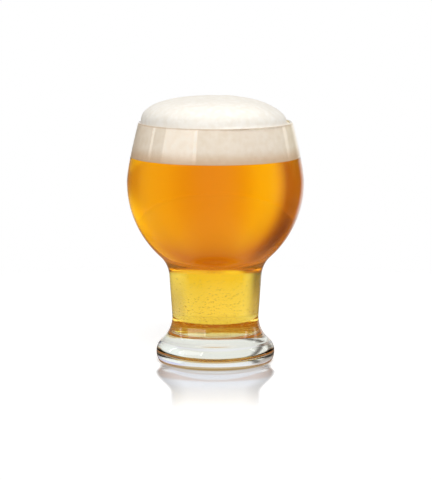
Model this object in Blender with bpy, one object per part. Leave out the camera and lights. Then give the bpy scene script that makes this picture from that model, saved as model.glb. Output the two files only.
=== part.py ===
"""Stemless globe beer glass, filled with beer and topped by a head of foam.

Units are metres, +Z is up. The origin is the centre of the base, on the surface the glass stands on.
Every piece is turned about the Z axis. The glass is one moulded piece: a thick solid foot with a
rolled edge, a short tapered neck, and a globe bowl that closes in towards a rounded rim.
"""

from math import acos, atan2, ceil, cos, hypot, pi, radians, sin, sqrt, tan

import bmesh
import bpy

# Foot
FOOT_FLARE = 0.00895          # how far the foot stands out beyond the neck
FOOT_WIDEST_HEIGHT = 0.0059   # height of the foot's widest circle
FOOT_ROLL = 0.0085            # section radius of the rolled shoulder
FOOT_FILLET = 0.017           # hollow sweep from the shoulder into the neck
FOOT_TUCK = 0.0021            # how far the base edge tucks in under the widest circle
TUCK_SLOPE_DEGREES = 45.0     # slope of the tuck where it leaves the base
BASE_ROUND = 0.0007           # rounding of the base edge
BEARING_WIDTH = 0.0060        # flat ring that the glass stands on
PUNT_DEPTH = 0.0008           # hollow in the underside

# Neck
NECK_DIAMETER = 0.0489        # at its narrowest, where the foot's sweep ends
NECK_TAPER_DEGREES = 4.2      # the neck opens upwards by this half angle
NECK_LENGTH = 0.0227          # straight part between the two sweeps
NECK_FILLET = 0.016           # hollow sweep from the neck into the bowl

# Bowl
BOWL_DIAMETER = 0.1000        # at its widest
BOWL_LOWER_ARC = 0.056        # section radius below the widest circle
BOWL_RISE = 0.0342            # from the widest circle up to the rim
BOWL_UPPER_FULLNESS = 0.25    # share of the rise that stays upright before the wall leans in
RIM_DIAMETER = 0.0874

# Walls
WALL = 0.0025
RIM_WALL = 0.0018
FLOOR_THICKNESS = 0.0139      # solid glass under the drink
FLOOR_CORNER = 0.0034         # inside round between the floor and the neck

# Drink
BEER_BELOW_RIM = 0.0196       # foam line below the rim
CROWN_RISE = 0.0135           # top of the foam above the rim
CROWN_FULLNESS = 3.8          # exponent of the crown's section at front and back, 2 is an ellipse
CROWN_FULLNESS_LEFT = 2.8     # the same at the -X side
CROWN_FULLNESS_RIGHT = 2.1    # the same at the +X side
CLEARANCE = 0.0003            # between the drink, its foam and the glass

# Facets
SEGMENTS = 48
ARC_STEP_DEGREES = 9.0
CURVE_STEPS = 6
CROWN_STEPS = 9
SHARP_DEGREES = 35.0          # edges that bend by more than this are shaded sharp
SAME_PLACE = 1e-6             # points closer than this are one

# Sizes that follow from those above
TAPER = radians(NECK_TAPER_DEGREES)
NECK_UP = (sin(TAPER), cos(TAPER))
NECK_OUT = (cos(TAPER), -sin(TAPER))
NECK_RADIUS = NECK_DIAMETER / 2
FOOT_RADIUS = NECK_RADIUS + FOOT_FLARE
TUCK_SLOPE = radians(TUCK_SLOPE_DEGREES)
BEARING_RADIUS = FOOT_RADIUS - FOOT_TUCK - BASE_ROUND * tan(TUCK_SLOPE / 2)
BOWL_RADIUS = BOWL_DIAMETER / 2
RIM_RADIUS = RIM_DIAMETER / 2


def along(point, direction, distance):
    """The point moved along a direction in the section plane."""
    return (point[0] + direction[0] * distance, point[1] + direction[1] * distance)


def tangent_rise(reach, radius_sum):
    """Height between the centres of two touching circles that stand reach apart sideways."""
    return sqrt(radius_sum ** 2 - reach ** 2)


ROLL_CENTRE = (FOOT_RADIUS - FOOT_ROLL, FOOT_WIDEST_HEIGHT)
FOOT_SWEEP_RADIUS = NECK_RADIUS + FOOT_FILLET * NECK_OUT[0]
FOOT_SWEEP_CENTRE = (
    FOOT_SWEEP_RADIUS,
    FOOT_WIDEST_HEIGHT + tangent_rise(FOOT_SWEEP_RADIUS - ROLL_CENTRE[0], FOOT_ROLL + FOOT_FILLET),
)
NECK_BOTTOM = along(FOOT_SWEEP_CENTRE, NECK_OUT, -FOOT_FILLET)
NECK_TOP = along(NECK_BOTTOM, NECK_UP, NECK_LENGTH)
NECK_SWEEP_CENTRE = along(NECK_TOP, NECK_OUT, NECK_FILLET)
BOWL_CENTRE_RADIUS = BOWL_RADIUS - BOWL_LOWER_ARC
BOWL_HEIGHT = NECK_SWEEP_CENTRE[1] + tangent_rise(
    NECK_SWEEP_CENTRE[0] - BOWL_CENTRE_RADIUS, BOWL_LOWER_ARC + NECK_FILLET
)
BOWL_CENTRE = (BOWL_CENTRE_RADIUS, BOWL_HEIGHT)
RIM_HEIGHT = BOWL_HEIGHT + BOWL_RISE
RIM_CENTRE = (RIM_RADIUS - RIM_WALL / 2, RIM_HEIGHT - RIM_WALL / 2)
BEER_LEVEL = RIM_HEIGHT - BEER_BELOW_RIM


def direction_angle(start, end):
    """Angle of the line from start to end in the section plane."""
    return atan2(end[1] - start[1], end[0] - start[0])


def arc(centre, radius, start, end):
    """Points of a circular arc in the section plane, both ends included."""
    steps = max(2, ceil(abs(end - start) / radians(ARC_STEP_DEGREES)))
    angles = [start + (end - start) * i / steps for i in range(steps + 1)]
    return [(centre[0] + radius * cos(a), centre[1] + radius * sin(a)) for a in angles]


def bend(start, control, end):
    """Points of a quadratic curve in the section plane, both ends included."""
    points = []
    for i in range(CURVE_STEPS + 1):
        t = i / CURVE_STEPS
        weights = ((1 - t) ** 2, 2 * t * (1 - t), t ** 2)
        points.append(tuple(
            sum(w * p[k] for w, p in zip(weights, (start, control, end))) for k in range(2)
        ))
    return points


def joined(*stretches):
    """One outline from stretches that share their end points."""
    outline = []
    for stretch in stretches:
        for point in stretch:
            if not outline or hypot(point[0] - outline[-1][0], point[1] - outline[-1][1]) > SAME_PLACE:
                outline.append(point)
    return outline


def rim_lean(widest_radius, rim_radius):
    """Angle by which a face of the bowl leans in where it reaches the rim."""
    control_height = BOWL_HEIGHT + BOWL_UPPER_FULLNESS * BOWL_RISE
    return atan2(widest_radius - rim_radius, RIM_CENTRE[1] - control_height)


def body_wall(inset, rim_end):
    """Neck, sweep and bowl from the neck's top to the rim, set in from the outer face by inset."""
    to_bowl = direction_angle(NECK_SWEEP_CENTRE, BOWL_CENTRE)
    sweep = arc(NECK_SWEEP_CENTRE, NECK_FILLET + inset, pi - TAPER, to_bowl)
    globe = arc(BOWL_CENTRE, BOWL_LOWER_ARC - inset, to_bowl - pi, 0.0)
    widest = globe[-1]
    closing_in = bend(widest, (widest[0], widest[1] + BOWL_UPPER_FULLNESS * BOWL_RISE), rim_end)
    return joined(sweep, globe, closing_in)


def inner_wall(gap):
    """Inside of the glass from the axis at the floor to the rim, drawn in by gap on every face."""
    corner = FLOOR_CORNER - gap
    inset = WALL + gap
    floor = FLOOR_THICKNESS + gap
    corner_height = floor + corner
    wall_foot = along(NECK_BOTTOM, NECK_OUT, -inset - corner)
    corner_shift = (corner_height - wall_foot[1]) / NECK_UP[1]
    corner_centre = along(wall_foot, NECK_UP, corner_shift)
    lean = rim_lean(BOWL_RADIUS - WALL, RIM_RADIUS - RIM_WALL)
    rim_inside = along(RIM_CENTRE, (cos(lean), sin(lean)), -RIM_WALL / 2 - gap)
    return joined(
        [(0.0, floor)],
        arc(corner_centre, corner, -pi / 2, -TAPER),
        body_wall(inset, rim_inside),
    )


def outer_wall():
    """Outside of the glass from the base edge to the rim."""
    to_sweep = direction_angle(ROLL_CENTRE, FOOT_SWEEP_CENTRE)
    base_edge = arc((BEARING_RADIUS, BASE_ROUND), BASE_ROUND, -pi / 2, TUCK_SLOPE - pi / 2)
    widest = (FOOT_RADIUS, FOOT_WIDEST_HEIGHT)
    tuck = bend(base_edge[-1], (FOOT_RADIUS, FOOT_TUCK * tan(TUCK_SLOPE)), widest)
    roll = arc(ROLL_CENTRE, FOOT_ROLL, 0.0, to_sweep)
    sweep = arc(FOOT_SWEEP_CENTRE, FOOT_FILLET, to_sweep + pi, pi - TAPER)
    lean = rim_lean(BOWL_RADIUS, RIM_RADIUS)
    rim_outside = along(RIM_CENTRE, (cos(lean), sin(lean)), RIM_WALL / 2)
    return joined(base_edge, tuck, roll, sweep, body_wall(0.0, rim_outside))


def rim_bead():
    """Fire-polished half round over the rim, from its inner to its outer face, tangent to both."""
    inside = rim_lean(BOWL_RADIUS - WALL, RIM_RADIUS - RIM_WALL)
    outside = rim_lean(BOWL_RADIUS, RIM_RADIUS)
    return arc(RIM_CENTRE, RIM_WALL / 2, pi + inside, outside)


def punt():
    """Underside from the bearing ring in to the axis, a shallow spherical hollow."""
    punt_radius = BEARING_RADIUS - BEARING_WIDTH
    sphere = (punt_radius ** 2 + PUNT_DEPTH ** 2) / (2 * PUNT_DEPTH)
    centre_height = PUNT_DEPTH - sphere
    half_angle = acos(-centre_height / sphere)
    points = []
    for i in range(CURVE_STEPS + 1):
        angle = half_angle * (1 - i / CURVE_STEPS)
        points.append((sphere * sin(angle), centre_height + sphere * cos(angle)))
    return points


def at_height(outline, height):
    """The outline's rising wall where it crosses a height."""
    for low, high in zip(outline, outline[1:]):
        if low[1] <= height < high[1]:
            share = (height - low[1]) / (high[1] - low[1])
            return (low[0] + (high[0] - low[0]) * share, height)
    return outline[-1]


def crown(base):
    """Section of the foam's crown from the wall at the rim up to its top on the axis."""
    rise = RIM_HEIGHT + CROWN_RISE - base[1]
    points = []
    for i in range(CROWN_STEPS + 1):
        angle = pi / 2 * i / CROWN_STEPS
        out = cos(angle) ** (2 / CROWN_FULLNESS)
        up = sin(angle) ** (2 / CROWN_FULLNESS)
        points.append((base[0] * out, base[1] + rise * up))
    points[-1] = (0.0, base[1] + rise)
    return points


def swell_crown(mesh, base):
    """Let the crown slope more at its sides, most on +X, with its edge and its top left in place."""
    rise = RIM_HEIGHT + CROWN_RISE - base[1]
    for vertex in mesh.vertices:
        if vertex.co.z > base[1] + SAME_PLACE:
            radius = hypot(vertex.co.x, vertex.co.y)
            spread = min(radius / base[0], 1.0)
            aside = (vertex.co.x / max(radius, SAME_PLACE)) ** 2
            side = CROWN_FULLNESS_LEFT if vertex.co.x < 0 else CROWN_FULLNESS_RIGHT
            exponent = CROWN_FULLNESS + (side - CROWN_FULLNESS) * aside
            vertex.co.z = base[1] + rise * (1 - spread ** exponent) ** (1 / exponent)


def material(name, colour, roughness, alpha=1.0, transmission=0.0, ior=1.5):
    """Principled material with the look of one piece."""
    made = bpy.data.materials.new(name)
    made.use_nodes = True
    shader = made.node_tree.nodes["Principled BSDF"]
    shader.inputs["Base Color"].default_value = (*colour, 1.0)
    shader.inputs["Roughness"].default_value = roughness
    shader.inputs["Metallic"].default_value = 0.0
    shader.inputs["Alpha"].default_value = alpha
    shader.inputs["Transmission Weight"].default_value = transmission
    shader.inputs["IOR"].default_value = ior
    made.diffuse_color = (*colour, alpha)
    return made


def turned(name, outline, look):
    """Object made by turning an outline about Z. The outline starts and ends on the axis and runs
    down on its outer side."""
    shape = bmesh.new()
    points = [shape.verts.new((radius, 0.0, height)) for radius, height in outline]
    edges = [shape.edges.new(pair) for pair in zip(points, points[1:])]
    bmesh.ops.spin(
        shape, geom=points + edges, cent=(0, 0, 0), axis=(0, 0, 1), angle=2 * pi, steps=SEGMENTS
    )
    bmesh.ops.remove_doubles(shape, verts=shape.verts, dist=SAME_PLACE)
    bmesh.ops.recalc_face_normals(shape, faces=shape.faces)
    mesh = bpy.data.meshes.new(name)
    shape.to_mesh(mesh)
    shape.free()
    mesh.shade_smooth()
    mesh.set_sharp_from_angle(angle=radians(SHARP_DEGREES))
    mesh.materials.append(look)
    piece = bpy.data.objects.new(name, mesh)
    bpy.context.scene.collection.objects.link(piece)
    return piece


def build_glass():
    """The moulded glass: inside, over the rim, down the outside and under the foot."""
    clear = material(
        "clear soda-lime glass", (0.90, 0.94, 0.93), 0.02, alpha=0.35, transmission=1.0, ior=1.52
    )
    outline = joined(inner_wall(0.0), rim_bead(), list(reversed(outer_wall())), punt())
    return turned("glass", outline, clear)


def build_beer():
    """The drink: the inside of the glass up to the foam line."""
    amber = material("amber lager", (0.86, 0.36, 0.02), 0.02, alpha=0.75, transmission=0.8, ior=1.34)
    wall = inner_wall(CLEARANCE)
    edge = at_height(wall, BEER_LEVEL)
    side = [point for point in wall if point[1] < BEER_LEVEL - SAME_PLACE]
    outline = [(0.0, BEER_LEVEL), edge] + list(reversed(side))
    return turned("beer", outline, amber)


def build_foam_head():
    """The foam: from the drink up the inside of the glass and domed above the rim."""
    froth = material("beer froth", (0.92, 0.88, 0.80), 0.9)
    wall = inner_wall(CLEARANCE)
    bottom = BEER_LEVEL + CLEARANCE
    edge = at_height(wall, bottom)
    side = [edge] + [point for point in wall if point[1] > bottom + SAME_PLACE]
    base = side[-1]
    outline = joined(list(reversed(crown(base))), list(reversed(side)), [(0.0, bottom)])
    foam = turned("foam_head", outline, froth)
    swell_crown(foam.data, base)
    return foam


def main():
    for old in list(bpy.data.objects):
        bpy.data.objects.remove(old)
    build_glass()
    build_beer()
    build_foam_head()


main()
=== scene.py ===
"""Looks of the globe beer glass: clear pressed glass, amber lager with fine bubbles, and its foam."""

import random
from math import acos, atan2, ceil, cos, dist, hypot, pi, radians, sin, sqrt, tan

import bmesh
import bpy
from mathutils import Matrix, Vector, noise


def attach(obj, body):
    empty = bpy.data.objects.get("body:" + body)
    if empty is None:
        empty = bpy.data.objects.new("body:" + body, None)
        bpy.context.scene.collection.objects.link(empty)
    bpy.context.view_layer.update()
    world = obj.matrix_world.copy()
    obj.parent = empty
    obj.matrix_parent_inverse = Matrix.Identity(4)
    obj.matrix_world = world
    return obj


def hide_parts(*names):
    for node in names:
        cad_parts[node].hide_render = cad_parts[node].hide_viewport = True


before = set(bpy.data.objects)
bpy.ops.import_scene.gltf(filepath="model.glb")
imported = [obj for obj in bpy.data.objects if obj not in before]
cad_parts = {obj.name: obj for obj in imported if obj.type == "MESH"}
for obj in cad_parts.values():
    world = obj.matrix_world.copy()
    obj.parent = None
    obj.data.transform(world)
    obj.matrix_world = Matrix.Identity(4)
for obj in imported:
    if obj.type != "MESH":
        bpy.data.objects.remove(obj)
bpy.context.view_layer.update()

# Section of the glass, in metres, as the solids have it
FOOT_FLARE = 0.00895
FOOT_WIDEST_HEIGHT = 0.0059
FOOT_ROLL = 0.0085
FOOT_FILLET = 0.017
FOOT_TUCK = 0.0021
BASE_ROUND = 0.0007
BEARING_WIDTH = 0.0060
PUNT_DEPTH = 0.0008
NECK_DIAMETER = 0.0489
NECK_TAPER_DEGREES = 4.2
NECK_LENGTH = 0.0227
NECK_FILLET = 0.016
BOWL_DIAMETER = 0.1000
BOWL_LOWER_ARC = 0.056
BOWL_RISE = 0.0342
BOWL_UPPER_FULLNESS = 0.25
RIM_DIAMETER = 0.0874
WALL = 0.0025
RIM_WALL = 0.0018
FLOOR_THICKNESS = 0.0139
FLOOR_CORNER = 0.0034
BEER_BELOW_RIM = 0.0196
CROWN_RISE = 0.0135
CROWN_FULLNESS = 3.8
CROWN_FULLNESS_LEFT = 2.8
CROWN_FULLNESS_RIGHT = 2.1
WETTING = 0.00012            # how far the drink reaches into the wall, so that no air shows between them

# Fineness of the turned meshes
SEGMENTS = 192
FROTH_SEGMENTS = 360
ARC_STEP_DEGREES = 2.5
CURVE_STEPS = 24
CROWN_STEPS = 90
SHARP_DEGREES = 35
HAIR = 1e-6                  # less than this is no distance
SAME_PLACE = 1e-7

TAPER = radians(NECK_TAPER_DEGREES)
NECK_UP = (sin(TAPER), cos(TAPER))
NECK_OUT = (cos(TAPER), -sin(TAPER))
NECK_RADIUS = NECK_DIAMETER / 2
FOOT_RADIUS = NECK_RADIUS + FOOT_FLARE
BASE_CUT = BASE_ROUND * tan(pi / 8)
BEARING_RADIUS = FOOT_RADIUS - FOOT_TUCK - BASE_CUT
BOWL_RADIUS = BOWL_DIAMETER / 2
RIM_RADIUS = RIM_DIAMETER / 2


def along(point, direction, distance):
    """The point moved along a direction in the section plane."""
    return (point[0] + direction[0] * distance, point[1] + direction[1] * distance)


def tangent_rise(reach, radius_sum):
    """Height between the centres of two touching circles that stand reach apart sideways."""
    return sqrt(radius_sum ** 2 - reach ** 2)


ROLL_CENTRE = (FOOT_RADIUS - FOOT_ROLL, FOOT_WIDEST_HEIGHT)
FOOT_SWEEP_RADIUS = NECK_RADIUS + FOOT_FILLET * NECK_OUT[0]
FOOT_SWEEP_CENTRE = (
    FOOT_SWEEP_RADIUS,
    FOOT_WIDEST_HEIGHT + tangent_rise(FOOT_SWEEP_RADIUS - ROLL_CENTRE[0], FOOT_ROLL + FOOT_FILLET),
)
NECK_BOTTOM = along(FOOT_SWEEP_CENTRE, NECK_OUT, -FOOT_FILLET)
NECK_TOP = along(NECK_BOTTOM, NECK_UP, NECK_LENGTH)
NECK_SWEEP_CENTRE = along(NECK_TOP, NECK_OUT, NECK_FILLET)
BOWL_CENTRE_RADIUS = BOWL_RADIUS - BOWL_LOWER_ARC
BOWL_HEIGHT = NECK_SWEEP_CENTRE[1] + tangent_rise(
    NECK_SWEEP_CENTRE[0] - BOWL_CENTRE_RADIUS, BOWL_LOWER_ARC + NECK_FILLET
)
BOWL_CENTRE = (BOWL_CENTRE_RADIUS, BOWL_HEIGHT)
RIM_HEIGHT = BOWL_HEIGHT + BOWL_RISE
RIM_CENTRE = (RIM_RADIUS - RIM_WALL / 2, RIM_HEIGHT - RIM_WALL / 2)
BEER_LEVEL = RIM_HEIGHT - BEER_BELOW_RIM


def direction_angle(start, end):
    """Angle of the line from start to end in the section plane."""
    return atan2(end[1] - start[1], end[0] - start[0])


def arc(centre, radius, start, end):
    """Points of a circular arc in the section plane, both ends included."""
    steps = max(2, ceil(abs(end - start) / radians(ARC_STEP_DEGREES)))
    angles = [start + (end - start) * i / steps for i in range(steps + 1)]
    return [(centre[0] + radius * cos(a), centre[1] + radius * sin(a)) for a in angles]


def bend(start, control, end):
    """Points of a quadratic curve in the section plane, both ends included."""
    points = []
    for i in range(CURVE_STEPS + 1):
        t = i / CURVE_STEPS
        weights = ((1 - t) ** 2, 2 * t * (1 - t), t ** 2)
        points.append(tuple(
            sum(w * p[k] for w, p in zip(weights, (start, control, end))) for k in range(2)
        ))
    return points


def joined(*stretches):
    """One outline from stretches that share their end points."""
    outline = []
    for stretch in stretches:
        for point in stretch:
            if not outline or dist(point, outline[-1]) > SAME_PLACE:
                outline.append(point)
    return outline


def rim_lean(widest_radius, rim_radius):
    """Angle by which a face of the bowl leans in where it reaches the rim."""
    control_height = BOWL_HEIGHT + BOWL_UPPER_FULLNESS * BOWL_RISE
    return atan2(widest_radius - rim_radius, RIM_CENTRE[1] - control_height)


def body_wall(inset, rim_end):
    """Neck, sweep and bowl from the neck's top to the rim, set in from the outer face by inset."""
    to_bowl = direction_angle(NECK_SWEEP_CENTRE, BOWL_CENTRE)
    sweep = arc(NECK_SWEEP_CENTRE, NECK_FILLET + inset, pi - TAPER, to_bowl)
    globe = arc(BOWL_CENTRE, BOWL_LOWER_ARC - inset, to_bowl - pi, 0.0)
    widest = globe[-1]
    closing_in = bend(widest, (widest[0], widest[1] + BOWL_UPPER_FULLNESS * BOWL_RISE), rim_end)
    return joined(sweep, globe, closing_in)


def inner_wall(gap):
    """Inside of the glass from the axis at the floor to the rim, drawn in by gap on every face."""
    corner = FLOOR_CORNER - gap
    inset = WALL + gap
    floor = FLOOR_THICKNESS + gap
    corner_height = floor + corner
    wall_foot = along(NECK_BOTTOM, NECK_OUT, -inset - corner)
    corner_shift = (corner_height - wall_foot[1]) / NECK_UP[1]
    corner_centre = along(wall_foot, NECK_UP, corner_shift)
    lean = rim_lean(BOWL_RADIUS - WALL, RIM_RADIUS - RIM_WALL)
    rim_inside = along(RIM_CENTRE, (cos(lean), sin(lean)), -RIM_WALL / 2 - gap)
    return joined(
        [(0.0, floor)],
        arc(corner_centre, corner, -pi / 2, -TAPER),
        body_wall(inset, rim_inside),
    )


def outer_wall():
    """Outside of the glass from the base edge to the rim."""
    to_sweep = direction_angle(ROLL_CENTRE, FOOT_SWEEP_CENTRE)
    base_edge = arc((BEARING_RADIUS, BASE_ROUND), BASE_ROUND, -pi / 2, -pi / 4)
    widest = (FOOT_RADIUS, FOOT_WIDEST_HEIGHT)
    tuck = bend(base_edge[-1], (FOOT_RADIUS, FOOT_TUCK), widest)
    roll = arc(ROLL_CENTRE, FOOT_ROLL, 0.0, to_sweep)
    sweep = arc(FOOT_SWEEP_CENTRE, FOOT_FILLET, to_sweep + pi, pi - TAPER)
    lean = rim_lean(BOWL_RADIUS, RIM_RADIUS)
    rim_outside = along(RIM_CENTRE, (cos(lean), sin(lean)), RIM_WALL / 2)
    return joined(base_edge, tuck, roll, sweep, body_wall(0.0, rim_outside))


def rim_bead():
    """Fire-polished half round over the rim, from its inner to its outer face, tangent to both."""
    inside = rim_lean(BOWL_RADIUS - WALL, RIM_RADIUS - RIM_WALL)
    outside = rim_lean(BOWL_RADIUS, RIM_RADIUS)
    return arc(RIM_CENTRE, RIM_WALL / 2, pi + inside, outside)


def punt():
    """Underside from the bearing ring in to the axis, a shallow spherical hollow."""
    punt_radius = BEARING_RADIUS - BEARING_WIDTH
    sphere = (punt_radius ** 2 + PUNT_DEPTH ** 2) / (2 * PUNT_DEPTH)
    centre_height = PUNT_DEPTH - sphere
    half_angle = acos(-centre_height / sphere)
    points = []
    for i in range(CURVE_STEPS + 1):
        angle = half_angle * (1 - i / CURVE_STEPS)
        points.append((sphere * sin(angle), centre_height + sphere * cos(angle)))
    return points


def at_height(outline, height):
    """The outline's rising wall where it crosses a height."""
    for low, high in zip(outline, outline[1:]):
        if low[1] <= height < high[1]:
            share = (height - low[1]) / (high[1] - low[1])
            return (low[0] + (high[0] - low[0]) * share, height)
    return outline[-1]


def crown(base):
    """Section of the foam's crown from the wall at the rim up to its top on the axis."""
    rise = RIM_HEIGHT + CROWN_RISE - base[1]
    points = []
    for i in range(CROWN_STEPS + 1):
        angle = pi / 2 * i / CROWN_STEPS
        out = cos(angle) ** (2 / CROWN_FULLNESS)
        up = sin(angle) ** (2 / CROWN_FULLNESS)
        points.append((base[0] * out, base[1] + rise * up))
    points[-1] = (0.0, base[1] + rise)
    return points


def as_piece(name, shape):
    """Object in the scene from a finished shape, smooth but for its sharp edges."""
    mesh = bpy.data.meshes.new(name)
    shape.to_mesh(mesh)
    shape.free()
    mesh.shade_smooth()
    mesh.set_sharp_from_angle(angle=radians(SHARP_DEGREES))
    piece = bpy.data.objects.new(name, mesh)
    bpy.context.scene.collection.objects.link(piece)
    return piece


def turned(name, outline, segments):
    """Object turned about Z from an outline that starts and ends on the axis and runs down outside."""
    shape = bmesh.new()
    points = [shape.verts.new((radius, 0.0, height)) for radius, height in outline]
    edges = [shape.edges.new(pair) for pair in zip(points, points[1:])]
    bmesh.ops.spin(
        shape, geom=points + edges, cent=(0, 0, 0), axis=(0, 0, 1), angle=2 * pi, steps=segments
    )
    bmesh.ops.remove_doubles(shape, verts=shape.verts, dist=HAIR)
    bmesh.ops.recalc_face_normals(shape, faces=shape.faces)
    return as_piece(name, shape)


def linear(hex_colour):
    """An sRGB hex colour as linear RGBA."""
    channels = [int(hex_colour[i:i + 2], 16) / 255 for i in (1, 3, 5)]
    return (*[c / 12.92 if c <= 0.04045 else ((c + 0.055) / 1.055) ** 2.4 for c in channels], 1.0)


def add(tree, kind, inputs=None, **settings):
    """A node with its settings. Its inputs take values, sockets, or nodes by their first live output."""
    node = tree.nodes.new(kind)
    for name, value in settings.items():
        setattr(node, name, value)
    live = [socket for socket in node.inputs if socket.enabled]
    for name, value in (inputs or {}).items():
        socket = live[name] if isinstance(name, int) else next(s for s in live if s.name == name)
        if isinstance(value, bpy.types.Node):
            value = next(s for s in value.outputs if s.enabled)
        if isinstance(value, bpy.types.NodeSocket):
            tree.links.new(value, socket)
        else:
            socket.default_value = value
    return node


def soft_share(tree, *steps):
    """Share in which every step is made: each is a value, with where it starts and where it is full."""
    whole = 1.0
    for value, (start, full) in steps:
        places = {"From Min": start, "From Max": full, "To Min": 0.0, "To Max": 1.0}
        if start > full:
            places = {"From Min": full, "From Max": start, "To Min": 1.0, "To Max": 0.0}
        step = add(tree, "ShaderNodeMapRange", {
            "Value": value, **places,
        }, interpolation_type="SMOOTHSTEP")
        whole = add(tree, "ShaderNodeMath", {0: whole, 1: step}, operation="MULTIPLY")
    return whole


def painted(tree, ground, *layers):
    """Colour of a ground under layers, each with its share, its colour and how it mixes."""
    for share, colour, kind in layers:
        ground = add(tree, "ShaderNodeMix", {
            "Factor": share, "A": ground, "B": colour,
        }, data_type="RGBA", blend_type=kind)
    return ground


def new_material(name):
    """An empty node material and its tree."""
    made = bpy.data.materials.new(name)
    made.use_nodes = True
    made.node_tree.nodes.clear()
    return made, made.node_tree


WHITE = linear("#FFFFFF")
GLASS_TINT = linear("#FBFDFC")
# the rim's brown tint is painted shade
RIM_SHADE_TINT = linear("#E9DED2")
FOOT_TINT = linear("#E9EDEA")
# the base edge's amber tint is painted light from the drink and painted contact shade
EDGE_GLOW_TINT = linear("#AC8E56")
WETTED_GLOSS = linear("#505050")
GLASS_INDEX = 1.52
RING_INDEX = 1.01            # from the glass into the film of water that it stands in
RING_STIPPLE = 0.4
LAGER_INDEX = 1.345
LAGER_GLOSS = linear("#000000")
LAGER_STRAW = (0.9965, 0.85, 0.03, 1.0)  # what a thin layer lets through, linear
LAGER_DENSITY = 66.0         # per metre of drink


def glass_face(name, tint, roughness=0.0, index=GLASS_INDEX, gloss=WHITE):
    """One face of the glass: see-through, with the tint and the gloss that its place gives it."""
    made, tree = new_material(name)
    shader = add(tree, "ShaderNodeBsdfPrincipled", {
        "Base Color": tint, "Roughness": roughness, "IOR": index, "Transmission Weight": 1.0,
        "Specular Tint": gloss,
    })
    add(tree, "ShaderNodeOutputMaterial", {"Surface": shader})
    return made


def pressed_clear_glass():
    """Fire-polished soda-lime glass: colourless, with hard bright edges."""
    return glass_face("pressed clear soda-lime glass", GLASS_TINT)


def wetted_glass():
    """The inside face under the drink, where liquid on glass takes nearly all of the gloss away."""
    return glass_face("glass wetted by the drink", GLASS_TINT, gloss=WETTED_GLOSS)


def thick_foot_glass():
    """The foot's outside: so deep a piece of glass takes a little of the light, and looks grey-green."""
    return glass_face("thick pressed glass of the foot", FOOT_TINT)


def base_edge_glass():
    """The edge that the foot stands on: its glass is tinted amber with painted light from the drink and
    painted contact shade, and shows as a thin amber line.
    """
    return glass_face("pressed glass of the base edge with painted glow", EDGE_GLOW_TINT)


def fire_polished_rim():
    """The melted-round rim: its glass is tinted brown with painted shade, and shows as a thin brown line.
    """
    return glass_face("fire-polished glass rim with painted shade", RIM_SHADE_TINT)


def stippled_glass():
    """The ring that the glass stands on, stippled by its mould, which blurs the floor under it."""
    return glass_face("stippled bearing ring", GLASS_TINT, roughness=RING_STIPPLE, index=RING_INDEX)


def amber_lager():
    """Filtered lager: clear, straw yellow where it is thin and deep amber where it is thick."""
    made, tree = new_material("amber lager")
    shader = add(tree, "ShaderNodeBsdfPrincipled", {
        "Base Color": WHITE, "Roughness": 0.0, "IOR": LAGER_INDEX, "Transmission Weight": 1.0,
        "Specular Tint": LAGER_GLOSS,
    })
    depth = add(tree, "ShaderNodeVolumeAbsorption", {"Color": LAGER_STRAW, "Density": LAGER_DENSITY})
    add(tree, "ShaderNodeOutputMaterial", {"Surface": shader, "Volume": depth})
    return made


CELL = 0.0008                # width of a bubble in the froth
CELL_RELIEF = 0.0002
GRAIN_STRENGTH = 0.35
PATCH = 0.0032               # width of the froth's lighter and darker patches
PATCH_DETAIL = 3.0
PATCH_CONTRAST = (0.35, 0.65)
FROTH_LIGHT = linear("#F9F5ED")
FROTH_SHADE = linear("#F4EEE3")
FROTH_INDEX = 1.33
FROTH_ROUGHNESS = 0.85
# low on the drink the froth's beige is its wet tone with painted amber light and shade from the drink
DRINK_LIT_TINT = linear("#EBD8C5")
DRINK_LIT_HEIGHT = 0.008        # how far up the painted light of the drink reaches
# the glow of the froth's underside is painted light
UNDERSIDE_PAINTED_GLOW = linear("#B3A68B")


def beer_froth():
    """Fine froth: matt cream white with the grain of small bubbles; low on the drink it is beige, its wet
    tone with painted amber light and shade.
    """
    made, tree = new_material("beer froth")
    place = add(tree, "ShaderNodeTexCoord").outputs["Object"]
    height = add(tree, "ShaderNodeSeparateXYZ", {0: place}).outputs["Z"]
    cells = add(tree, "ShaderNodeTexVoronoi", {"Vector": place, "Scale": 1 / CELL})
    patches = add(tree, "ShaderNodeTexNoise", {
        "Vector": place, "Scale": 1 / PATCH, "Detail": PATCH_DETAIL,
    })
    shade = add(tree, "ShaderNodeMapRange", {
        "Value": patches, "From Min": PATCH_CONTRAST[0], "From Max": PATCH_CONTRAST[1],
    })
    # painted amber light and shade of the drink, low on the froth
    drink_lit = soft_share(tree, (height, (BEER_LEVEL + DRINK_LIT_HEIGHT, BEER_LEVEL)))
    colour = painted(
        tree, FROTH_LIGHT, (shade, FROTH_SHADE, "MIX"), (drink_lit, DRINK_LIT_TINT, "MULTIPLY")
    )
    grain = add(tree, "ShaderNodeBump", {
        "Strength": GRAIN_STRENGTH, "Distance": CELL_RELIEF, "Height": cells,
    })
    shader = add(tree, "ShaderNodeBsdfPrincipled", {
        "Base Color": colour, "Roughness": FROTH_ROUGHNESS, "IOR": FROTH_INDEX, "Normal": grain,
    })
    add(tree, "ShaderNodeOutputMaterial", {"Surface": shader})
    return made


def glowing_froth_underside():
    """The froth's underside, given a painted glow for the drink's light that soaks into it."""
    made, tree = new_material("froth underside with painted glow")
    shader = add(tree, "ShaderNodeBsdfPrincipled", {
        "Base Color": FROTH_SHADE, "Roughness": FROTH_ROUGHNESS, "IOR": FROTH_INDEX,
        "Emission Color": UNDERSIDE_PAINTED_GLOW, "Emission Strength": 1.0,
    })
    add(tree, "ShaderNodeOutputMaterial", {"Surface": shader})
    return made


FLAT = 0.999                 # upright share of a normal beyond which a face counts as level
UPWARD = 0.5                 # and beyond which it counts as part of the inner floor
FLOOR_PLAY = 0.0001          # how far under the inner floor a face still counts as inside
BASE_LINE = 0.0012           # height of the base edge that shows as a line


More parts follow.
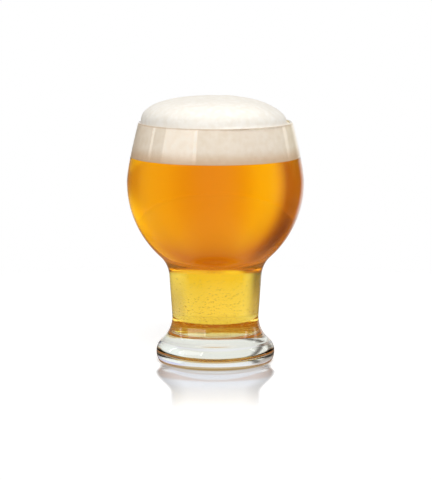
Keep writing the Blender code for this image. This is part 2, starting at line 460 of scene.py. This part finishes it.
def build_glass():
    """The glass body, with each face given the look of its place."""
    outline = joined(inner_wall(0.0), rim_bead(), list(reversed(outer_wall())), punt())
    piece = turned("glass_body", outline, SEGMENTS)
    clear, wetted, stippled, rim, foot, edge = range(6)
    for look in (
        pressed_clear_glass, wetted_glass, stippled_glass, fire_polished_rim, thick_foot_glass,
        base_edge_glass,
    ):
        piece.data.materials.append(look())
    ring = BEARING_RADIUS - BEARING_WIDTH
    for face in piece.data.polygons:
        reach = hypot(face.center.x, face.center.y)
        inward = face.normal.x * face.center.x + face.normal.y * face.center.y < -HAIR
        within = FLOOR_THICKNESS - FLOOR_PLAY < face.center.z < RIM_HEIGHT - RIM_WALL
        floor = face.normal.z > UPWARD and reach < NECK_RADIUS - WALL
        face.material_index = wetted if within and (inward or floor) else clear
        if face.normal.z < -FLAT and reach > ring:
            face.material_index = stippled
        if face.center.z > RIM_CENTRE[1]:
            face.material_index = rim
        if face.center.z < FOOT_SWEEP_CENTRE[1] and reach > NECK_RADIUS and face.normal.z > -FLAT:
            face.material_index = edge if face.center.z < BASE_LINE and reach > BEARING_RADIUS else foot
    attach(piece, "root")
    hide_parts("glass")
    return piece


# Gas bubbles, a little larger than real ones so that they show
NECK_BUBBLES = 1300
NECK_BUBBLE_LEAST = 0.00012
NECK_BUBBLE_SPREAD = 0.00016
NECK_CROWDING = 3            # how strongly the neck's bubbles crowd down to its floor
PLUME_BUBBLES = 500
PLUME_BUBBLE_LEAST = 0.00008
PLUME_BUBBLE_SPREAD = 0.00012
PLUME_RADIUS = 0.018
BUBBLE_OFF_FLOOR = 0.0008
BUBBLE_OFF_WALL = 0.003
BUBBLE_OFF_FOAM = 0.002
BUBBLE_SHARP_DEGREES = 60
BUBBLE_SEED = 7


def add_bubbles(shape):
    """Gas bubbles as small hollows in the drink: dense low in the neck, with a loose plume above it."""
    dice = random.Random(BUBBLE_SEED)
    ball = bmesh.new()
    bmesh.ops.create_icosphere(ball, subdivisions=2, radius=1.0)
    ball.verts.index_update()
    floor = FLOOR_THICKNESS + BUBBLE_OFF_FLOOR
    for number in range(NECK_BUBBLES + PLUME_BUBBLES):
        if number < NECK_BUBBLES:
            height = floor + (NECK_TOP[1] - floor) * dice.random() ** NECK_CROWDING
            width = NECK_RADIUS - WALL - BUBBLE_OFF_WALL
            radius = NECK_BUBBLE_LEAST + NECK_BUBBLE_SPREAD * dice.random() ** 2
        else:
            height = NECK_TOP[1] + (BEER_LEVEL - BUBBLE_OFF_FOAM - NECK_TOP[1]) * dice.random()
            width = PLUME_RADIUS
            radius = PLUME_BUBBLE_LEAST + PLUME_BUBBLE_SPREAD * dice.random() ** 2
        reach = width * sqrt(dice.random())
        turn = 2 * pi * dice.random()
        centre = Vector((reach * cos(turn), reach * sin(turn), height))
        corners = [shape.verts.new(centre + radius * vertex.co) for vertex in ball.verts]
        for face in ball.faces:
            shape.faces.new([corners[vertex.index] for vertex in reversed(face.verts)])
    ball.free()


def build_beer():
    """The drink, up to the foam line, with its bubbles."""
    wall = inner_wall(-WETTING)
    edge = at_height(wall, BEER_LEVEL)
    side = [point for point in wall if point[1] < BEER_LEVEL - HAIR]
    piece = turned("lager", [(0.0, BEER_LEVEL), edge] + list(reversed(side)), SEGMENTS)
    shape = bmesh.new()
    shape.from_mesh(piece.data)
    add_bubbles(shape)
    shape.to_mesh(piece.data)
    shape.free()
    piece.data.shade_smooth()
    piece.data.set_sharp_from_angle(angle=radians(BUBBLE_SHARP_DEGREES))
    piece.data.materials.append(amber_lager())
    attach(piece, "root")
    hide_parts("beer")
    return piece


LUMP = 0.009                 # width of the crown's soft lumps
LUMP_HEIGHT = 0.0003
LUMP_START = 1 / 3           # share of the crown's rise at which the lumps have their full height
RIPPLE = 0.003
RIPPLE_HEIGHT = 0.00012
DRAWN_BACK = 0.04            # share of the radius by which the froth leaves the rim bare on +X


def swell_crown(mesh, base):
    """Let the crown slope more at its sides, most on +X, and give it the soft lumps of poured foam."""
    rise = RIM_HEIGHT + CROWN_RISE - base[1]
    middle = Vector((0, 0, BOWL_HEIGHT))
    for vertex in mesh.vertices:
        if vertex.co.z > base[1] + HAIR:
            radius = hypot(vertex.co.x, vertex.co.y)
            aside = (vertex.co.x / max(radius, HAIR)) ** 2
            side, bare = CROWN_FULLNESS_RIGHT, DRAWN_BACK
            if vertex.co.x < 0:
                side, bare = CROWN_FULLNESS_LEFT, 0.0
            spread = min(radius / base[0] * (1 + bare * aside), 1.0)
            exponent = CROWN_FULLNESS + (side - CROWN_FULLNESS) * aside
            up = (1 - spread ** exponent) ** (1 / exponent)
            vertex.co.z = base[1] + rise * up
            lump = LUMP_HEIGHT * noise.noise(vertex.co / LUMP)
            lump += RIPPLE_HEIGHT * noise.noise(vertex.co / RIPPLE)
            vertex.co += lump * min(1.0, up / LUMP_START) * (vertex.co - middle).normalized()


GLOW_UNDERSIDE_SLOPE = 0.9               # downward share of a normal beyond which the froth lies on the drink and takes the painted glow


def build_foam():
    """The head of froth, from the drink up to its crown."""
    wall = inner_wall(-WETTING)
    bottom = BEER_LEVEL - 2 * WETTING
    edge = at_height(wall, bottom)
    side = [edge] + [point for point in wall if point[1] > bottom + HAIR]
    base = side[-1]
    outline = joined(list(reversed(crown(base))), list(reversed(side)), [(0.0, bottom)])
    piece = turned("froth", outline, FROTH_SEGMENTS)
    swell_crown(piece.data, base)
    piece.data.materials.append(beer_froth())
    piece.data.materials.append(glowing_froth_underside())
    for face in piece.data.polygons:
        face.material_index = 1 if face.normal.z < -GLOW_UNDERSIDE_SLOPE else 0
    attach(piece, "root")
    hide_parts("foam_head")
    return piece


# Camera, from the photograph's frame
PHOTO_HEIGHT = 480
CAMERA_DISTANCE = 2.018
CAMERA_HEIGHT = 0.327
CAMERA_PITCH_DEGREES = 7.289
CAMERA_SIDE = 0.00034
FOCAL_PIXELS = 3600
SENSOR = 36.0


def build_camera():
    """Camera at the photograph's place, a little above the rim."""
    data = bpy.data.cameras.new("camera")
    data.sensor_fit = "VERTICAL"
    data.sensor_height = SENSOR
    data.lens = SENSOR * FOCAL_PIXELS / PHOTO_HEIGHT
    camera = bpy.data.objects.new("camera", data)
    camera.location = (CAMERA_SIDE, -CAMERA_DISTANCE, CAMERA_HEIGHT)
    camera.rotation_euler = (pi / 2 - radians(CAMERA_PITCH_DEGREES), 0.0, 0.0)
    bpy.context.scene.collection.objects.link(camera)
    bpy.context.scene.camera = camera


# Floor. Here and below light levels are linear, and a pair says where a share starts and where it is full
FLOOR_RADIUS = 0.45
FLOOR_SIDES = 96
FLOOR_DROP = 0.0001          # kept under the bearing ring, so that no two faces lie in one plane
FLOOR_FADE = (0.16, 0.42)    # the floor fades into the backdrop
FLOOR_LIFT = 0.60
FLOOR_WHITE = linear("#CFCFCF")

# The floor's mirror image of the foot, widest where the foot is: a glossy mirror mixed with a painted
# reflection, whose outline and darker sides are painted by place
MIRROR_GREY = (0.87, 0.92, 1.0, 1.0)
MIRROR_BLUR = 0.12
MIRROR_SHARE = 0.85
MIRROR_FADE = (0.22, 0.040)
MIRROR_FRONT = (-0.004, -0.020)
MIRROR_EDGE = (-0.001, 0.002)
MIRRORED_FLARE = (-0.036, -0.108)
MIRRORED_TUCK = (-0.038, -0.020)
# the grey, darker at the sides, is a painted reflection of the foot
MIRROR_PAINT = (0.66, 0.67, 0.69, 1.0)
MIRROR_PAINT_SIDE = (0.27, 0.265, 0.26, 1.0)
MIRROR_PAINT_SIDE_INSIDE = (0.011, 0.0)
MIRROR_PAINT_SHARE = 0.6

# Painted light that comes through the drink on to the floor, with painted contact shade in its edge ring:
# an oval, with its rings as shares of its radius
GLOW_CENTRE = (0.0, 0.004, 0.0)
GLOW_ACROSS = 0.0315
GLOW_ALONG = 0.0400
GLOW_AMBER = (0.53, 0.18, 0.03, 1.0)
GLOW_PALE = (0.80, 0.68, 0.42, 1.0)
# painted contact shade round the foot
GLOW_SHADED_EDGE = (0.40, 0.27, 0.11, 1.0)
GLOW_FADE = (1.05, 0.95)
GLOW_PALE_RING = (0.42, 0.30)
GLOW_SHADED_EDGE_RING = (0.82, 0.90)

# Dim room in front of the glass, as the glass mirrors it
DIM_FRONT = (0.22, 0.21, 0.19, 1.0)
DIM_LEFT = (0.10, 0.07, 0.03, 1.0)
DIM_RIGHT = (0.06, 0.03, 0.01, 1.0)
DIM_FLOOR_SIDES = (0.03, 0.12)
DIM_ROOM_SIDES = (0.2, 0.7)


def dim_room(tree, x, sides):
    """Colour of the dim room, darker beyond the sides."""
    near, far = sides
    return painted(
        tree, DIM_FRONT,
        (soft_share(tree, (x, (-near, -far))), DIM_LEFT, "MIX"),
        (soft_share(tree, (x, (near, far))), DIM_RIGHT, "MIX"),
    )


def floor_mirror(tree, x, y, reach):
    """Share and shader of the floor's soft mirror image of the foot: a glossy mirror mixed with a painted
    reflection.
    """
    aside = add(tree, "ShaderNodeMath", {0: x}, operation="ABSOLUTE")
    half_width = add(tree, "ShaderNodeMath", {
        0: soft_share(tree, (y, MIRRORED_FLARE)), 1: -FOOT_FLARE, 2: FOOT_RADIUS,
    }, operation="MULTIPLY_ADD")
    tucked = add(tree, "ShaderNodeMath", {
        0: soft_share(tree, (y, MIRRORED_TUCK)), 1: -FOOT_TUCK, 2: half_width,
    }, operation="MULTIPLY_ADD")
    inside = add(tree, "ShaderNodeMath", {0: tucked, 1: aside}, operation="SUBTRACT")
    in_image = soft_share(tree, (reach, MIRROR_FADE), (inside, MIRROR_EDGE), (y, MIRROR_FRONT))
    share = add(tree, "ShaderNodeMath", {0: in_image, 1: MIRROR_SHARE}, operation="MULTIPLY")
    # painted reflection of the foot, darker at its sides
    painted_mirror_colour = painted(tree, MIRROR_PAINT, (soft_share(tree, (inside, MIRROR_PAINT_SIDE_INSIDE)), MIRROR_PAINT_SIDE, "MIX"))
    painted_mirror = add(tree, "ShaderNodeEmission", {"Color": painted_mirror_colour, "Strength": 1.0})
    clean = add(tree, "ShaderNodeBsdfGlossy", {"Color": MIRROR_GREY, "Roughness": MIRROR_BLUR})
    return share, add(tree, "ShaderNodeMixShader", {0: MIRROR_PAINT_SHARE, 1: clean, 2: painted_mirror})


def floor_glow(tree, place):
    """Share and shader of the painted amber light that the drink throws on the floor, with its painted
    contact shade.
    """
    off_glow = add(tree, "ShaderNodeVectorMath", {0: place, 1: GLOW_CENTRE}, operation="SUBTRACT")
    in_glow = add(tree, "ShaderNodeVectorMath", {
        0: off_glow, 1: (1 / GLOW_ACROSS, 1 / GLOW_ALONG, 0.0),
    }, operation="MULTIPLY")
    off_centre = add(tree, "ShaderNodeVectorMath", {0: in_glow}, operation="LENGTH")
    colour = painted(
        tree, GLOW_AMBER,
        (soft_share(tree, (off_centre, GLOW_PALE_RING)), GLOW_PALE, "MIX"),
        (soft_share(tree, (off_centre, GLOW_SHADED_EDGE_RING)), GLOW_SHADED_EDGE, "MIX"),
    )
    amber = add(tree, "ShaderNodeEmission", {"Color": colour, "Strength": 1.0})
    return soft_share(tree, (off_centre, GLOW_FADE)), amber


def build_floor():
    """White acrylic under the glass: it mirrors the foot, partly with a painted reflection, and takes a
    painted amber glow through the drink.
    """
    shape = bmesh.new()
    bmesh.ops.create_circle(shape, cap_ends=True, segments=FLOOR_SIDES, radius=FLOOR_RADIUS)
    floor = as_piece("floor", shape)
    floor.location.z = -FLOOR_DROP
    made, tree = new_material("white studio acrylic")
    path = add(tree, "ShaderNodeLightPath").outputs
    place = add(tree, "ShaderNodeNewGeometry").outputs["Position"]
    x, y, z = add(tree, "ShaderNodeSeparateXYZ", {0: place}).outputs
    reach = add(tree, "ShaderNodeVectorMath", {0: place}, operation="LENGTH")
    board = add(tree, "ShaderNodeBsdfDiffuse", {"Color": FLOOR_WHITE})
    lift = add(tree, "ShaderNodeEmission", {"Color": WHITE, "Strength": FLOOR_LIFT})
    lit = add(tree, "ShaderNodeAddShader", {0: board, 1: lift})
    share, mirror = floor_mirror(tree, x, y, reach)
    glossy = add(tree, "ShaderNodeMixShader", {0: share, 1: lit, 2: mirror})
    glow, amber = floor_glow(tree, place)
    glowing = add(tree, "ShaderNodeMixShader", {0: glow, 1: glossy, 2: amber})
    # in mirrors the floor shows painted shade, the colour of the dim room
    dim_colour = dim_room(tree, x, DIM_FLOOR_SIDES)
    dim = add(tree, "ShaderNodeEmission", {"Color": dim_colour, "Strength": 1.0})
    seen = add(tree, "ShaderNodeMixShader", {0: path["Is Reflection Ray"], 1: glowing, 2: dim})
    clear = add(tree, "ShaderNodeBsdfTransparent")
    far = soft_share(tree, (reach, FLOOR_FADE))
    faded = add(tree, "ShaderNodeMixShader", {0: far, 1: seen, 2: clear})
    add(tree, "ShaderNodeOutputMaterial", {"Surface": faded})
    floor.data.materials.append(made)


# Curved card close behind the glass
CARD_RADIUS = 0.14
CARD_HEIGHT = 0.28
CARD_HALF_DEGREES = 80
CARD_SOLID_DEGREES = 66      # the card fades from here to its ends
CARD_STEPS = 96

# Its paint, low and high, is painted light and shade: metres across the card to the right, or up, where a
# layer begins and is full
CARD_WHITE = (1.03, 1.02, 0.97, 1.0)
CARD_SHADED = (0.30, 0.28, 0.25, 1.0)
CARD_SHADED_LOW = (0.62, 0.55, 0.48, 1.0)
SHADED_ACROSS = (-0.036, -0.072)
SHADED_UP = (0.018, 0.040)
CARD_LOWEST = (1.04, 1.05, 1.18, 1.0)
LOWEST_UP = (0.032, 0.014)
# painted yellow light
CARD_YELLOW_LIGHT = (1.0, 0.92, 0.42, 1.0)
YELLOW_LIGHT_UP = (0.027, 0.040)
YELLOW_LIGHT_ASIDE = (0.040, 0.028)
# painted dimming
CARD_DIMMED = (0.95, 0.95, 0.95, 1.0)
DIMMED_ACROSS = (-0.002, 0.018)
CARD_RIGHT = (1.08, 1.08, 1.0, 1.0)
CARD_RIGHT_LOW = (0.82, 0.81, 1.02, 1.0)
RIGHT_ACROSS = (0.032, 0.054)
RIGHT_UP = (0.022, 0.046)
HIGH_UP = (0.056, 0.082)
CARD_STRAW = (1.02, 0.84, 0.40, 1.0)
CARD_WARM = (0.645, 0.30, 0.08, 1.0)
WARM_UP = (0.0894, 0.1274)
WARM_TILT = 0.186            # rise of the warm layer for each metre across
CARD_STRIPE = (0.90, 0.80, 0.80, 1.0)
STRIPE_PLACE = 0.0026
STRIPE_OFF = (0.014, 0.0)
CARD_BRIGHT = (1.10, 1.25, 1.0, 1.0)
BRIGHT_PLACE = -0.017
BRIGHT_OFF = (0.013, 0.003)
CARD_WINDOW = (1.10, 1.16, 0.10, 1.0)
WINDOW_ACROSS = (0.010, 0.109)
WINDOW_UP = (0.092, 0.120)
CARD_DUSK = (0.78, 0.66, 1.0, 1.0)
DUSK_ACROSS = (0.026, 0.062)
DUSK_FROM = (0.0755, 0.0795)
DUSK_TO = (0.104, 0.086)
CARD_BROWN = (0.50, 0.24, 0.08, 1.0)
BROWN_ACROSS = (-0.0243, -0.0408)
CARD_FLAG = (0.16, 0.05, 0.01, 1.0)
FLAG_PLACE = (-0.050, 0.1226, 0.0)
FLAG_OFF = (0.035, 0.0)


def off_place(tree, value, place):
    """How far a value is from a place, to either side."""
    off = add(tree, "ShaderNodeMath", {0: value, 1: place}, operation="SUBTRACT")
    return add(tree, "ShaderNodeMath", {0: off}, operation="ABSOLUTE")


def low_paint(tree, across, up):
    """Painted light low on the card, behind the foot and the neck: white, with painted shade at the left.
    """
    aside = off_place(tree, across, 0.0)
    yellow_light = soft_share(tree, (up, YELLOW_LIGHT_UP), (aside, YELLOW_LIGHT_ASIDE))
    left = painted(tree, CARD_SHADED_LOW, (soft_share(tree, (up, SHADED_UP)), CARD_SHADED, "MIX"))
    right = painted(tree, CARD_RIGHT_LOW, (soft_share(tree, (up, RIGHT_UP)), CARD_RIGHT, "MIX"))
    return painted(
        tree, CARD_WHITE,
        (soft_share(tree, (across, SHADED_ACROSS)), left, "MIX"),
        (soft_share(tree, (up, LOWEST_UP)), CARD_LOWEST, "MULTIPLY"),
        (yellow_light, CARD_YELLOW_LIGHT, "MULTIPLY"),
        (soft_share(tree, (across, DIMMED_ACROSS)), CARD_DIMMED, "MULTIPLY"),
        (soft_share(tree, (across, RIGHT_ACROSS)), right, "MULTIPLY"),
    )


def high_paint(tree, across, up):
    """Painted light high on the card, behind the bowl: straw to warm, with a painted window and a painted
    dark flag.
    """
    tilted = add(tree, "ShaderNodeMath", {0: across, 1: -WARM_TILT, 2: up}, operation="MULTIPLY_ADD")
    window = soft_share(tree, (across, WINDOW_ACROSS), (up, WINDOW_UP))
    dusk = soft_share(tree, (across, DUSK_ACROSS), (up, DUSK_FROM), (up, DUSK_TO))
    off_stripe = off_place(tree, across, STRIPE_PLACE)
    off_bright = off_place(tree, across, BRIGHT_PLACE)
    spot = add(tree, "ShaderNodeCombineXYZ", {0: across, 1: up})
    off_flag = add(tree, "ShaderNodeVectorMath", {0: spot, 1: FLAG_PLACE}, operation="DISTANCE")
    return painted(
        tree, CARD_STRAW,
        (soft_share(tree, (tilted, WARM_UP)), CARD_WARM, "MIX"),
        (soft_share(tree, (off_stripe, STRIPE_OFF)), CARD_STRIPE, "MULTIPLY"),
        (soft_share(tree, (off_bright, BRIGHT_OFF)), CARD_BRIGHT, "MULTIPLY"),
        (window, CARD_WINDOW, "ADD"),
        (dusk, CARD_DUSK, "MULTIPLY"),
        (soft_share(tree, (across, BROWN_ACROSS)), CARD_BROWN, "MIX"),
        (soft_share(tree, (off_flag, FLAG_OFF)), CARD_FLAG, "MIX"),
    )


def behind_glass_only(card):
    """Hide a card from all but the light through the glass."""
    card.visible_camera = False
    card.visible_diffuse = False
    card.visible_glossy = False
    card.visible_shadow = False


def build_card():
    """Card of painted light that only the light through the glass meets; it gives the drink its
    gradients.
    """
    shape = bmesh.new()
    half_turn = radians(CARD_HALF_DEGREES)
    turns = [half_turn * (2 * i / CARD_STEPS - 1) for i in range(CARD_STEPS + 1)]
    feet = [Vector((CARD_RADIUS * sin(turn), CARD_RADIUS * cos(turn), 0.0)) for turn in turns]
    low = [shape.verts.new(foot) for foot in feet]
    high = [shape.verts.new(foot + Vector((0.0, 0.0, CARD_HEIGHT))) for foot in feet]
    for i in range(CARD_STEPS):
        shape.faces.new((low[i], low[i + 1], high[i + 1], high[i]))
    card = as_piece("gradient_card", shape)
    made, tree = new_material("painted gradient card")
    place = add(tree, "ShaderNodeNewGeometry").outputs["Position"]
    x, y, up = add(tree, "ShaderNodeSeparateXYZ", {0: place}).outputs
    bearing = add(tree, "ShaderNodeMath", {0: x, 1: y}, operation="ARCTAN2")
    across = add(tree, "ShaderNodeMath", {0: bearing, 1: CARD_RADIUS}, operation="MULTIPLY")
    raised = soft_share(tree, (up, HIGH_UP))
    colour = painted(tree, low_paint(tree, across, up), (raised, high_paint(tree, across, up), "MIX"))
    paint = add(tree, "ShaderNodeEmission", {"Color": colour, "Strength": 1.0})
    fade = [CARD_RADIUS * cos(radians(turn)) for turn in (CARD_HALF_DEGREES, CARD_SOLID_DEGREES)]
    clear = add(tree, "ShaderNodeBsdfTransparent")
    seen = add(tree, "ShaderNodeMixShader", {0: soft_share(tree, (y, fade)), 1: clear, 2: paint})
    add(tree, "ShaderNodeOutputMaterial", {"Surface": seen})
    card.data.materials.append(made)
    behind_glass_only(card)


# Light from the foot goes up behind the glass and light from the neck comes down, so a flat card that
# is seen from one side alone colours one of them
def build_low_card(name, height, apex, bearings, reach, colour, soft=3.0, from_below=True):
    """Flat card low behind the glass, a fan about its apex between two bearings, with soft sides."""
    left, right = bearings
    near, far = reach
    shape = bmesh.new()
    corners = []
    for turn, out in (
        (left - soft, near), (left - soft, far), (right + soft, far), (right + soft, near),
    ):
        x = apex[0] + out * sin(radians(turn))
        y = apex[1] + out * cos(radians(turn))
        corners.append(shape.verts.new((x, y, height)))
    face = shape.faces.new(corners)
    face.normal_update()
    if (face.normal.z > 0) != from_below:
        face.normal_flip()
    card = as_piece(name, shape)
    made, tree = new_material(name.replace("_", " "))
    geometry = add(tree, "ShaderNodeNewGeometry").outputs
    off_apex = add(tree, "ShaderNodeVectorMath", {
        0: geometry["Position"], 1: (*apex, 0.0),
    }, operation="SUBTRACT")
    x, y, z = add(tree, "ShaderNodeSeparateXYZ", {0: off_apex}).outputs
    bearing = add(tree, "ShaderNodeMath", {0: x, 1: y}, operation="ARCTAN2")
    share = soft_share(
        tree, (geometry["Backfacing"], (0.0, 1.0)),
        (bearing, (radians(left - soft), radians(left + soft))),
        (bearing, (radians(right + soft), radians(right - soft))),
    )
    paint = add(tree, "ShaderNodeEmission", {"Color": colour, "Strength": 1.0})
    clear = add(tree, "ShaderNodeBsdfTransparent")
    seen = add(tree, "ShaderNodeMixShader", {0: share, 1: clear, 2: paint})
    add(tree, "ShaderNodeOutputMaterial", {"Surface": seen})
    card.data.materials.append(made)
    behind_glass_only(card)


def build_low_cards():
    """Low cards of painted light and shade: a dark and a white one for the foot's sides, pale and amber
    ones for its middle.
    """
    build_low_card(
        "dark_low_card", height=0.016, apex=(0.010, 0.029), bearings=(-39, -31.5), reach=(0.020, 0.115),
        colour=(0.22, 0.205, 0.19, 1.0),
    )
    build_low_card(
        "white_low_card", height=0.016, apex=(-0.010, 0.029), bearings=(27, 60), reach=(0.028, 0.110),
        colour=(1.15, 1.17, 1.15, 1.0),
    )
    build_low_card(
        "amber_low_card", height=0.025, apex=(0.0, 0.0), bearings=(-2.4, 2.4), reach=(0.049, 0.057),
        colour=(0.70, 0.35, 0.06, 1.0), soft=0.5,
    )
    build_low_card(
        "pale_low_card", height=0.040, apex=(0.0, 0.0), bearings=(-9, 9), reach=(0.046, 0.096),
        colour=(0.85, 0.79, 0.68, 1.0),
    )
    build_low_card(
        "wide_low_card", height=0.030, apex=(0.0, 0.0), bearings=(-35, 35), reach=(0.083, 0.176),
        colour=(1.01, 1.0, 0.955, 1.0),
    )
    build_low_card(
        "pale_floor_card", height=0.0015, apex=(0.0, 0.0), bearings=(-38, 38), reach=(0.066, 0.170),
        colour=(1.03, 1.03, 1.12, 1.0), from_below=False,
    )


# The room beyond, as the glass refracts it: a pair gives shares of the view's direction
ROOM_BEHIND = (0.85, 0.75, 0.62, 1.0)
ROOM_FRONT = (1.86, 1.68, 1.54, 1.0)
ROOM_FRONT_Y = (0.0, -0.3)
ROOM_RIGHT = (1.9, 1.9, 2.2, 1.0)
ROOM_RIGHT_X = (0.86, 0.985)
ROOM_LEVEL = (1.10, 0.88, 0.62, 1.0)
ROOM_LEVEL_Z = (0.42, 0.26)
UNSCATTERED = (0.6, 0.4)     # count of matt bounces, so none
AMBIENT = (0.5, 0.5, 0.5, 1.0)

# The room as the glass mirrors it, in degrees: a white sweep, and softboxes whose lower edge slants
SWEEP_SIDES = ((-18, -8), (36, 22))
SOFTBOX_TOP = 42
SOFTBOX_BLUR = 1.5
SOFTBOXES = (                # bearings of the sides, heights of the lower corners, brightness
    ((-80, -27), (12.3, 16.9), 2.7),
    ((-32, -27), (16.5, 16.9), 1.8),
    ((-106, -101), (9, 9), 2.7),
    ((86, 93), (19.5, 19.5), 2.7),
    ((118, 127), (6, 6), 1.5),
)


def mirrored_softbox(tree, azimuth, elevation, sides, lows, radiance):
    """Brightness of one softbox as the glass mirrors it."""
    soft = radians(SOFTBOX_BLUR)
    left, right, top = [radians(angle) for angle in (*sides, SOFTBOX_TOP)]
    slope = (lows[1] - lows[0]) / (sides[1] - sides[0])
    edge = add(tree, "ShaderNodeMath", {
        0: azimuth, 1: -slope, 2: slope * left - radians(lows[0]),
    }, operation="MULTIPLY_ADD")
    over_edge = add(tree, "ShaderNodeMath", {0: elevation, 1: edge}, operation="ADD")
    share = soft_share(
        tree, (azimuth, (left - soft, left + soft)), (azimuth, (right + soft, right - soft)),
        (over_edge, (-soft, soft)), (elevation, (top + 2 * soft, top - 2 * soft)),
    )
    return add(tree, "ShaderNodeMath", {0: share, 1: radiance}, operation="MULTIPLY")


def mirrored_room(tree, x, y, z):
    """Brightness that the glass and the floor mirror: a dim room, the sweep behind, and softboxes."""
    toward = add(tree, "ShaderNodeMath", {0: y, 1: -1.0}, operation="MULTIPLY")
    bearing = add(tree, "ShaderNodeMath", {0: x, 1: y}, operation="ARCTAN2")
    azimuth = add(tree, "ShaderNodeMath", {0: x, 1: toward}, operation="ARCTAN2")
    elevation = add(tree, "ShaderNodeMath", {0: z}, operation="ARCSINE")
    sweep = soft_share(
        tree, *[(bearing, [radians(turn) for turn in side]) for side in SWEEP_SIDES]
    )
    softboxes = [mirrored_softbox(tree, azimuth, elevation, *softbox) for softbox in SOFTBOXES]
    return painted(
        tree, dim_room(tree, x, DIM_ROOM_SIDES), (sweep, WHITE, "MIX"),
        *[(1.0, softbox, "ADD") for softbox in softboxes],
    )


def refracted_room(tree, x, y, z, scattered):
    """Colour that the glass refracts: calmer straight ahead, where no froth has scattered the light."""
    steepness = add(tree, "ShaderNodeMath", {0: z}, operation="ABSOLUTE")
    level = soft_share(tree, (steepness, ROOM_LEVEL_Z), (y, ROOM_FRONT_Y), (scattered, UNSCATTERED))
    return painted(
        tree, ROOM_BEHIND,
        (soft_share(tree, (y, ROOM_FRONT_Y)), ROOM_FRONT, "MIX"),
        (soft_share(tree, (x, ROOM_RIGHT_X)), ROOM_RIGHT, "MIX"),
        (level, ROOM_LEVEL, "MIX"),
    )


def build_world():
    """Studio round the glass: white to the camera, and a room of its own to each kind of light."""
    world = bpy.data.worlds.new("studio")
    bpy.context.scene.world = world
    world.use_nodes = True
    tree = world.node_tree
    tree.nodes.clear()
    path = add(tree, "ShaderNodeLightPath").outputs
    aim = add(tree, "ShaderNodeTexCoord").outputs["Generated"]
    x, y, z = add(tree, "ShaderNodeSeparateXYZ", {0: aim}).outputs
    colour = painted(
        tree, mirrored_room(tree, x, y, z),
        (path["Is Diffuse Ray"], AMBIENT, "MIX"),
        (path["Is Transmission Ray"], refracted_room(tree, x, y, z, path["Diffuse Depth"]), "MIX"),
        (path["Is Camera Ray"], WHITE, "MIX"),
    )
    sky = add(tree, "ShaderNodeBackground", {"Color": colour, "Strength": 1.0})
    add(tree, "ShaderNodeOutputWorld", {"Surface": sky})


SOFTBOX_AIM = Vector((0, 0, 0.12))


def add_softbox(name, azimuth, elevation, distance, width, height, radiance):
    """Area lamp that lights the froth and the floor; its mirror image is part of the room."""
    data = bpy.data.lights.new(name, "AREA")
    data.shape = "RECTANGLE"
    data.size = width
    data.size_y = height
    data.energy = radiance * pi * width * height
    lamp = bpy.data.objects.new(name, data)
    turn, tilt = radians(azimuth), radians(elevation)
    away = Vector((sin(turn) * cos(tilt), -cos(turn) * cos(tilt), sin(tilt)))
    lamp.location = SOFTBOX_AIM + distance * away
    lamp.rotation_euler = (lamp.location - SOFTBOX_AIM).to_track_quat("Z", "Y").to_euler()
    lamp.visible_camera = False
    lamp.visible_glossy = False
    lamp.visible_transmission = False
    bpy.context.scene.collection.objects.link(lamp)


build_glass()
build_beer()
build_foam()
build_camera()
build_floor()
build_card()
build_low_cards()
build_world()
add_softbox(
    "front softbox", azimuth=10, elevation=42, distance=1.4, width=0.8, height=0.6, radiance=8.3
)

scene = bpy.context.scene
scene.view_settings.view_transform = "Standard"
